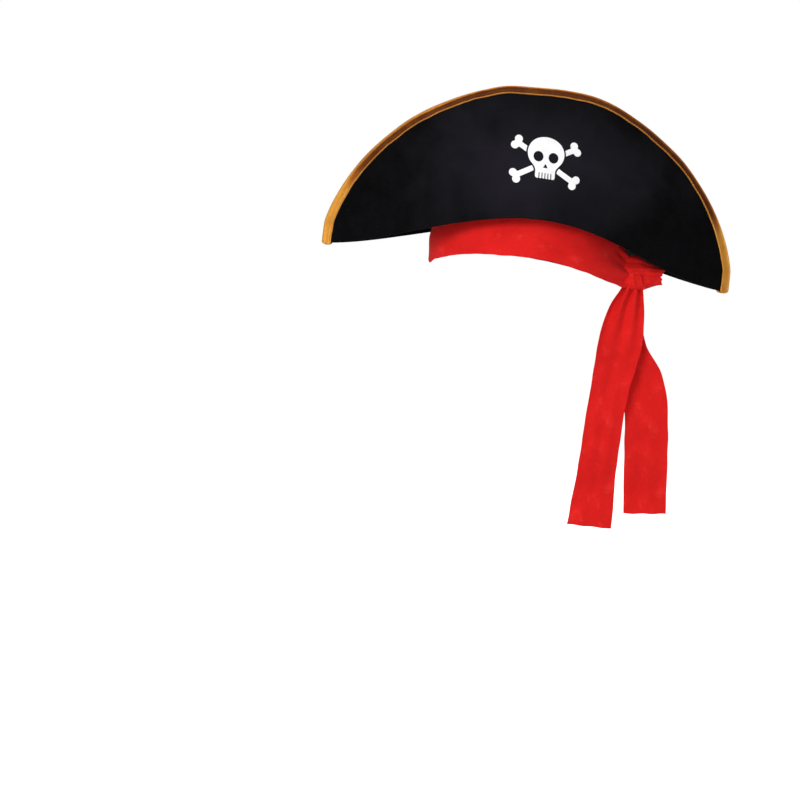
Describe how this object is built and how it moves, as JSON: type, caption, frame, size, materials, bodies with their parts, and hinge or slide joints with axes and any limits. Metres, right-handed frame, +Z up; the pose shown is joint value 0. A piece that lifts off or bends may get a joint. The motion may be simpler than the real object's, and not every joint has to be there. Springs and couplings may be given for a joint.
{
  "type": "pirate hat",
  "caption": "Felt bicorne hat with turned-up brim, gold braid edging, printed badge and a red sash knotted at one side with hanging tails.",
  "frame": {"origin": "centre of the head opening, level with the two tips of the brim", "axes": "+Z up the crown, -Y out of the front of the hat, +X towards the side with the sash knot"},
  "size_m": [0.424, 0.1864, 0.4418],
  "materials": {
    "black_felt": "matt brushed felt",
    "stiffener_felt": "stiff needled felt",
    "gold_braid": "woven metallic braid, satin",
    "lining_cloth": "thin smooth lining cloth",
    "sweatband_tape": "ribbed tape",
    "red_sash_cloth": "soft matt non-woven cloth",
    "white_print": "flat opaque print",
    "white_label": "plain woven label"
  },
  "bodies": {
    "crown": {"crown_side": "black_felt", "crown_top": "black_felt", "crown_lining": "lining_cloth", "sweatband": "sweatband_tape", "care_label": "white_label", "brim_underside": "black_felt", "sash_band": "red_sash_cloth", "sash_knot": "red_sash_cloth"},
    "front_brim": {"front_brim_face": "black_felt", "front_brim_stiffener": "stiffener_felt", "front_brim_facing": "black_felt", "front_brim_braid": "gold_braid", "skull_crossbones_print": "white_print"},
    "back_brim": {"back_brim_face": "black_felt", "back_brim_stiffener": "stiffener_felt", "back_brim_facing": "black_felt", "back_brim_braid": "gold_braid"},
    "front_tail": {"sash_tail_front": "red_sash_cloth"},
    "rear_tail": {"sash_tail_rear": "red_sash_cloth"}
  },
  "joints": [
    {"name": "front_brim_flex", "type": "hinge", "parent": "crown", "child": "front_brim", "pos_m": [0, 0, -0.002], "axis": [1, 0, 0], "range_deg": [0, 9], "stiffness_Nm_per_rad": 0.6, "springref_deg": -6.88},
    {"name": "back_brim_flex", "type": "hinge", "parent": "crown", "child": "back_brim", "pos_m": [0, 0, -0.002], "axis": [-1, 0, 0], "range_deg": [0, 9], "stiffness_Nm_per_rad": 0.6, "springref_deg": -6.88},
    {"name": "front_tail_swing", "type": "hinge", "parent": "crown", "child": "front_tail", "pos_m": [0.1075, -0.031, -0.026], "axis": [0, -1, 0], "range_deg": [-40, 60]},
    {"name": "rear_tail_swing", "type": "hinge", "parent": "crown", "child": "rear_tail", "pos_m": [0.1075, -0.025, -0.026], "axis": [0, -1, 0], "range_deg": [-50, 50]}
  ]
}
